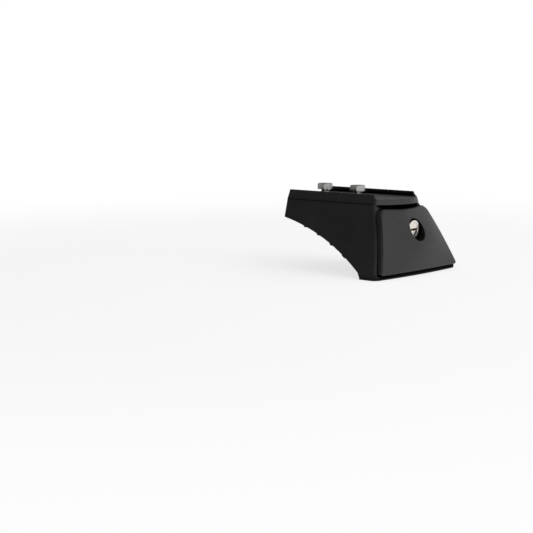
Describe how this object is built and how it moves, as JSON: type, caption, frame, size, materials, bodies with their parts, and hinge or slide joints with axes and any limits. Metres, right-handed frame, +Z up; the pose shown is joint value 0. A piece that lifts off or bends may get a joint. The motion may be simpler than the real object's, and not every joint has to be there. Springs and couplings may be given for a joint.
{
  "type": "roof bar foot",
  "caption": "Moulded foot for a roof bar: flared leg with an arched, ribbed underside, lipped saddle for the bar, and a crowned end cover with a key lock.",
  "frame": {"origin": "midway between the two base bolt holes, on the underside of the gasket", "axes": "+X outboard along the bar, +Y across the bar, +Z up towards the bar"},
  "size_m": [0.1003, 0.0926, 0.0575],
  "materials": {
    "leg_plastic": "fine moulded texture, satin",
    "saddle_plastic": "fine moulded texture, satin",
    "cover_plastic": "fine moulded texture, satin",
    "gasket_rubber": "matt",
    "zinc_plate": "zinc plated, lightly brushed",
    "stainless_bolt": "bright, turned",
    "zinc_washer": "zinc plated",
    "zinc_nut": "zinc plated",
    "nickel_housing": "nickel plated, satin polish",
    "nickel_plug": "nickel plated, turned face",
    "wafer_brass": "stamped",
    "spring_steel": "dark oiled",
    "zinc_cam": "zinc plated, stamped",
    "zinc_screw": "zinc plated"
  },
  "bodies": {
    "leg": {"leg_body": "leg_plastic", "bar_saddle": "saddle_plastic", "base_gasket": "gasket_rubber", "base_plate": "zinc_plate", "clamp_bolts": "stainless_bolt", "clamp_washers": "zinc_washer", "clamp_spring_washers": "zinc_washer", "clamp_nuts": "zinc_nut"},
    "cover": {"end_cover": "cover_plastic", "lock_housing": "nickel_housing", "lock_clip": "spring_steel"},
    "lock": {"lock_plug": "nickel_plug", "lock_wafers": "wafer_brass", "lock_cam": "zinc_cam", "cam_washer": "zinc_washer", "cam_screw": "zinc_screw"}
  },
  "joints": [
    {"name": "cover_slide", "type": "slide", "parent": "leg", "child": "cover", "axis": [1, 0, 0], "range_m": [0, 0.05]},
    {"name": "lock_turn", "type": "hinge", "parent": "cover", "child": "lock", "pos_m": [0, 0, 0.02995], "axis": [1, 0, 0], "range_deg": [0, 90]}
  ]
}
